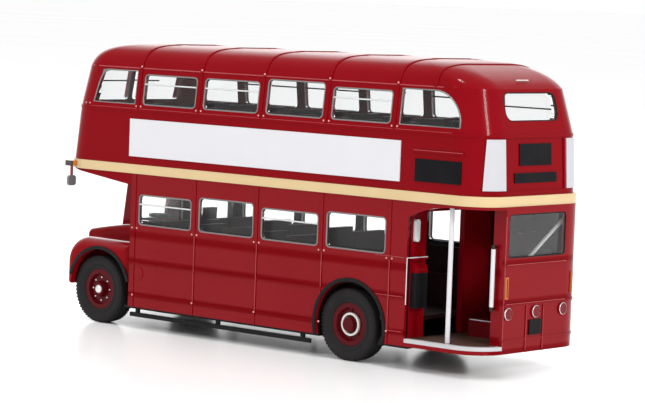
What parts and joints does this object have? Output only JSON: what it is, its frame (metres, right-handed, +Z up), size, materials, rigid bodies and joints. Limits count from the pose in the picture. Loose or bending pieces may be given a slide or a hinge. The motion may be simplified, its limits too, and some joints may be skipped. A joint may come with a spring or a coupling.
{
  "type": "scale model double decker bus",
  "caption": "Die-cast scale model of a half-cab double decker bus with an open rear platform, glazed decks, seats and free-rolling wheels.",
  "frame": {"origin": "on the ground, under the middle of the model", "axes": "+X to the front of the bus, +Y to its nearside (left), +Z up"},
  "size_m": [0.1112, 0.0352, 0.0576],
  "materials": {
    "red_enamel": "gloss enamel on a zinc casting",
    "cream_enamel": "gloss enamel",
    "black_enamel": "satin enamel",
    "white_print": "satin white",
    "black_print": "gloss black",
    "clear_plastic": "clear moulded plastic",
    "seat_plastic": "moulded brown plastic",
    "floor_plastic": "ribbed brown plastic",
    "black_plastic": "moulded black plastic",
    "grey_plastic": "moulded grey plastic",
    "white_plastic": "moulded white plastic",
    "silver_plate": "silver plated plastic",
    "amber_plastic": "amber plastic",
    "red_lens": "red plastic lens",
    "red_plastic": "moulded red plastic",
    "tyre_rubber": "soft black rubber",
    "steel": "drawn wire"
  },
  "bodies": {
    "bus_body": {"lower_body": "red_enamel", "upper_body": "red_enamel", "roof": "red_enamel", "waist_band": "cream_enamel", "front_canopy": "red_enamel", "upper_side_glazing": "clear_plastic", "upper_front_glazing": "clear_plastic", "upper_rear_window": "clear_plastic", "lower_side_glazing": "clear_plastic", "rear_window": "clear_plastic", "bulkhead_glazing": "clear_plastic", "windscreen": "clear_plastic", "cab_windows": "clear_plastic", "side_boards": "white_print", "corner_boards": "white_print", "side_blind": "black_print", "rear_blinds": "black_print", "front_blinds": "black_print", "bonnet": "red_enamel", "grille": "silver_plate", "front_wing": "red_enamel", "front_arch_rims": "black_enamel", "rear_arch_rims": "black_enamel", "headlamps": "silver_plate", "base_plate": "black_plastic", "lifeguards": "black_plastic", "lower_seats": "seat_plastic", "upper_seats": "seat_plastic", "platform_floor": "floor_plastic", "step_edge": "grey_plastic", "platform_pole": "white_plastic", "grab_rail": "white_plastic", "platform_bulkhead": "red_enamel", "ticket_box": "black_plastic", "staircase": "red_enamel", "stair_handrail": "white_plastic", "cab_fittings": "seat_plastic", "steering_wheel": "black_plastic", "indicators": "amber_plastic", "mirrors": "grey_plastic", "rear_lamps": "red_lens", "rear_reflectors": "amber_plastic", "number_plate": "black_plastic"},
    "front_wheels": {"front_axle": "steel", "front_tyre_left": "tyre_rubber", "front_hub_left": "red_plastic", "front_tyre_right": "tyre_rubber", "front_hub_right": "red_plastic"},
    "rear_wheels": {"rear_axle": "steel", "rear_tyre_left": "tyre_rubber", "rear_hub_left": "red_plastic", "rear_tyre_right": "tyre_rubber", "rear_hub_right": "red_plastic"}
  },
  "joints": [
    {"name": "front_axle_spin", "type": "hinge", "parent": "bus_body", "child": "front_wheels", "pos_m": [0.0446, 0, 0.0069], "axis": [0, 1, 0], "continuous": true},
    {"name": "rear_axle_spin", "type": "hinge", "parent": "bus_body", "child": "rear_wheels", "pos_m": [-0.0229, 0, 0.0069], "axis": [0, 1, 0], "continuous": true}
  ]
}
